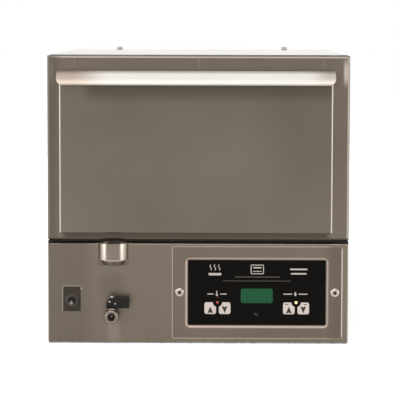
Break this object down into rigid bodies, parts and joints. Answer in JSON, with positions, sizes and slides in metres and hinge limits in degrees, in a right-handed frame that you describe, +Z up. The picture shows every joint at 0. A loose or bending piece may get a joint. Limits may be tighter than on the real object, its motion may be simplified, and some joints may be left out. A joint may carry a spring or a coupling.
{
  "type": "warming drawer",
  "caption": "Free-standing insulated warming drawer for a full-size food pan, on telescopic ball slides, with a water tank, fill cup, drain valve and key panel in its base.",
  "frame": {"origin": "middle of the base pan's flat underside", "axes": "+X to the right seen from the front, -Y to the user in front, +Z up"},
  "size_m": [0.5, 0.7053, 0.486],
  "materials": {
    "stainless": "brushed, fine vertical and level grain",
    "galvanised": "galvanised, matt",
    "bright": "polished",
    "bright_brushed": "bright brushed",
    "dark_metal": "dark satin",
    "liner_steel": "satin",
    "insulation": "glass wool",
    "heater_metal": "oxidised sheath",
    "silicone": "translucent hose",
    "black_plastic": "satin black",
    "overlay_black": "printed, satin black",
    "green_lens": "tinted green",
    "key_white": "satin, off-white",
    "red_lamp": "clear red",
    "warm_lamp": "clear warm white",
    "board_green": "solder mask",
    "gasket_rubber": "matt black",
    "rail_zinc": "zinc plated"
  },
  "bodies": {
    "cabinet": {"outer_casing": "stainless", "face_frame": "stainless", "base_pan": "galvanised", "service_panel": "stainless", "rear_panel": "stainless", "rear_screws": "bright", "base_deck": "galvanised", "top_studs": "dark_metal", "chamber_liner": "liner_steel", "insulation_jacket": "insulation", "evaporator_tank": "liner_steel", "water_heater": "heater_metal", "air_heater": "heater_metal", "heater_clips": "liner_steel", "air_probe": "bright", "level_probe": "bright", "fill_cup": "bright", "fill_tube": "silicone", "drain_tube": "bright", "drain_valve_body": "bright", "control_plate": "stainless", "control_overlay": "overlay_black", "display_lens": "green_lens", "left_lamp": "red_lamp", "right_lamp": "warm_lamp", "control_board": "board_green", "control_plate_screws": "bright", "switch_plate": "black_plastic", "switch_body": "black_plastic", "switch_nut": "dark_metal", "transformer": "dark_metal", "relay_block": "black_plastic", "terminal_block": "black_plastic", "cord_gland": "black_plastic", "left_cabinet_rail": "rail_zinc", "right_cabinet_rail": "rail_zinc"},
    "drawer": {"drawer_skin": "stainless", "drawer_inner_pan": "liner_steel", "drawer_core": "insulation", "door_gasket": "gasket_rubber", "face_panel": "stainless", "handle_pull": "bright_brushed", "pan_frame": "liner_steel", "left_drawer_rail": "rail_zinc", "right_drawer_rail": "rail_zinc"},
    "middle_rails": {"left_middle_rail": "rail_zinc", "right_middle_rail": "rail_zinc"},
    "outer_cage_set": {"outer_cages": "rail_zinc", "outer_balls": "bright"},
    "inner_cage_set": {"inner_cages": "rail_zinc", "inner_balls": "bright"},
    "drain_handle": {"drain_valve_lever": "black_plastic", "drain_valve_ball": "bright", "drain_lever_nut": "bright"},
    "power_toggle": {"toggle_lever": "dark_metal"},
    "left_up_button": {"left_up_key": "key_white"},
    "left_down_button": {"left_down_key": "key_white"},
    "right_up_button": {"right_up_key": "key_white"},
    "right_down_button": {"right_down_key": "key_white"}
  },
  "joints": [
    {"name": "drawer_slide", "type": "slide", "parent": "cabinet", "child": "drawer", "axis": [0, -1, 0], "range_m": [0, 0.5]},
    {"name": "middle_rail_slide", "type": "slide", "parent": "cabinet", "child": "middle_rails", "axis": [0, -1, 0], "range_m": [0, 0.25]},
    {"name": "outer_cage_slide", "type": "slide", "parent": "cabinet", "child": "outer_cage_set", "axis": [0, -1, 0], "range_m": [0, 0.125]},
    {"name": "inner_cage_slide", "type": "slide", "parent": "middle_rails", "child": "inner_cage_set", "axis": [0, -1, 0], "range_m": [0, 0.125]},
    {"name": "drain_lever_turn", "type": "hinge", "parent": "cabinet", "child": "drain_handle", "pos_m": [-0.143, -0.348, 0.0484], "axis": [0, 0, 1], "range_deg": [-90, 0]},
    {"name": "power_toggle_tip", "type": "hinge", "parent": "cabinet", "child": "power_toggle", "pos_m": [-0.2102, -0.3348, 0.072], "axis": [-1, 0, 0], "range_deg": [0, 24]},
    {"name": "left_up_press", "type": "slide", "parent": "cabinet", "child": "left_up_button", "axis": [0, 1, 0], "range_m": [0, 0.0005], "stiffness_N_per_m": 2500},
    {"name": "left_down_press", "type": "slide", "parent": "cabinet", "child": "left_down_button", "axis": [0, 1, 0], "range_m": [0, 0.0005], "stiffness_N_per_m": 2500},
    {"name": "right_up_press", "type": "slide", "parent": "cabinet", "child": "right_up_button", "axis": [0, 1, 0], "range_m": [0, 0.0005], "stiffness_N_per_m": 2500},
    {"name": "right_down_press", "type": "slide", "parent": "cabinet", "child": "right_down_button", "axis": [0, 1, 0], "range_m": [0, 0.0005], "stiffness_N_per_m": 2500}
  ],
  "couplings": [
    {"joint": "middle_rail_slide", "follows": "drawer_slide", "ratio": 0.5},
    {"joint": "outer_cage_slide", "follows": "drawer_slide", "ratio": 0.25},
    {"joint": "inner_cage_slide", "follows": "drawer_slide", "ratio": 0.25}
  ]
}
